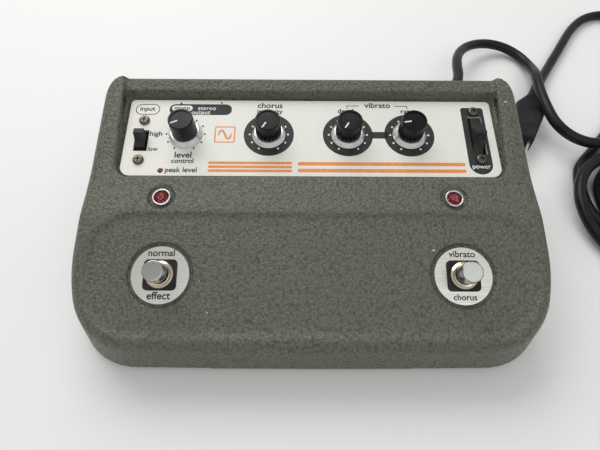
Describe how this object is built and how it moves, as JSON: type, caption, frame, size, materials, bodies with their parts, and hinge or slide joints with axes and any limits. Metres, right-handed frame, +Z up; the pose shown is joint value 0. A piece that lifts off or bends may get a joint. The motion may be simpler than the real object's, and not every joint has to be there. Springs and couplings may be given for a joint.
{
  "type": "guitar effects pedal",
  "caption": "Mains powered foot pedal: a low wedge housing with a control plate of knobs and rockers, two stomp buttons with lamps, rear jacks and a lead with its plug.",
  "frame": {"origin": "under the middle of the housing, on the surface that its feet stand on", "axes": "+X to the player's right along the width, +Y to the rear where the jacks and the mains lead are, +Z up"},
  "size_m": [0.4162, 0.314, 0.0696],
  "materials": {
    "housing_paint": "hammered",
    "plate_paint": "satin",
    "base_steel": "satin",
    "dark_steel": "satin",
    "plain_steel": "satin",
    "bright_metal": "polished",
    "disc_metal": "brushed",
    "chrome": "polished",
    "black_plastic": "satin",
    "switch_plastic": "moulded",
    "red_lens": "clear",
    "pad_rubber": "matt",
    "cord_rubber": "satin",
    "plug_plastic": "moulded grip",
    "brass": "bright",
    "board_green": "lacquered",
    "chip_plastic": "matt",
    "core_iron": "varnished",
    "winding_tape": "satin"
  },
  "bodies": {
    "housing": {"top_cover": "housing_paint", "base_plate": "base_steel", "rubber_feet": "pad_rubber", "base_screws": "dark_steel", "control_plate": "plate_paint", "switch_screws": "dark_steel", "pot_nuts": "plain_steel", "peak_lamp": "red_lens", "lamp_bezels": "chrome", "lamp_lenses": "red_lens", "lamp_holders": "switch_plastic", "lamp_nuts": "plain_steel", "foot_discs": "disc_metal", "switch_gaskets": "pad_rubber", "dress_nuts": "chrome", "switch_bushes": "chrome", "lock_nuts": "plain_steel", "switch_cases": "switch_plastic", "jack_nuts": "plain_steel", "jack_washers": "plain_steel", "strain_relief": "cord_rubber", "transformer_core": "core_iron", "transformer_coil": "winding_tape", "transformer_frame": "plain_steel", "inside_screws": "plain_steel", "main_board": "board_green", "board_standoffs": "brass", "board_parts": "chip_plastic", "supply_board": "board_green", "supply_parts": "chip_plastic", "mains_cord": "cord_rubber", "plug_cord": "cord_rubber", "cord_coil": "cord_rubber", "plug_body": "plug_plastic", "plug_pins": "brass", "input_rocker_case": "switch_plastic", "power_rocker_case": "switch_plastic", "input_jack": "plain_steel", "mono_jack": "plain_steel", "stereo_jack": "plain_steel", "level_pot": "plain_steel", "intensity_pot": "plain_steel", "depth_pot": "plain_steel", "rate_pot": "plain_steel"},
    "level_control": {"level_knob": "black_plastic", "level_skirt": "bright_metal", "level_shaft": "bright_metal"},
    "intensity_control": {"intensity_knob": "black_plastic", "intensity_skirt": "bright_metal", "intensity_shaft": "bright_metal"},
    "depth_control": {"depth_knob": "black_plastic", "depth_skirt": "bright_metal", "depth_shaft": "bright_metal"},
    "rate_control": {"rate_knob": "black_plastic", "rate_skirt": "bright_metal", "rate_shaft": "bright_metal"},
    "effect_button": {"effect_button": "chrome"},
    "mode_button": {"mode_button": "chrome"},
    "input_rocker": {"input_rocker": "switch_plastic"},
    "power_rocker": {"power_rocker": "switch_plastic"}
  },
  "joints": [
    {"name": "level_turn", "type": "hinge", "parent": "housing", "child": "level_control", "pos_m": [-0.0678, 0.03788, 0.05528], "axis": [0, -0.1736, 0.9848], "range_deg": [-265, 35]},
    {"name": "intensity_turn", "type": "hinge", "parent": "housing", "child": "intensity_control", "pos_m": [-0.0228, 0.03788, 0.05528], "axis": [0, -0.1736, 0.9848], "range_deg": [-300, 0]},
    {"name": "depth_turn", "type": "hinge", "parent": "housing", "child": "depth_control", "pos_m": [0.02, 0.03788, 0.05528], "axis": [0, -0.1736, 0.9848], "range_deg": [-300, 0]},
    {"name": "rate_turn", "type": "hinge", "parent": "housing", "child": "rate_control", "pos_m": [0.0534, 0.03788, 0.05528], "axis": [0, -0.1736, 0.9848], "range_deg": [-250, 50]},
    {"name": "effect_press", "type": "slide", "parent": "housing", "child": "effect_button", "axis": [0, 0.3338, -0.9426], "range_m": [0, 0.0026], "stiffness_N_per_m": 1500},
    {"name": "mode_press", "type": "slide", "parent": "housing", "child": "mode_button", "axis": [0, 0.3338, -0.9426], "range_m": [0, 0.0026], "stiffness_N_per_m": 1500},
    {"name": "input_rock", "type": "hinge", "parent": "housing", "child": "input_rocker", "pos_m": [-0.0912, 0.03426, 0.05159], "axis": [1, 0, 0], "range_deg": [0, 24]},
    {"name": "power_rock", "type": "hinge", "parent": "housing", "child": "power_rocker", "pos_m": [0.0904, 0.03887, 0.05139], "axis": [1, 0, 0], "range_deg": [-24, 0]}
  ]
}
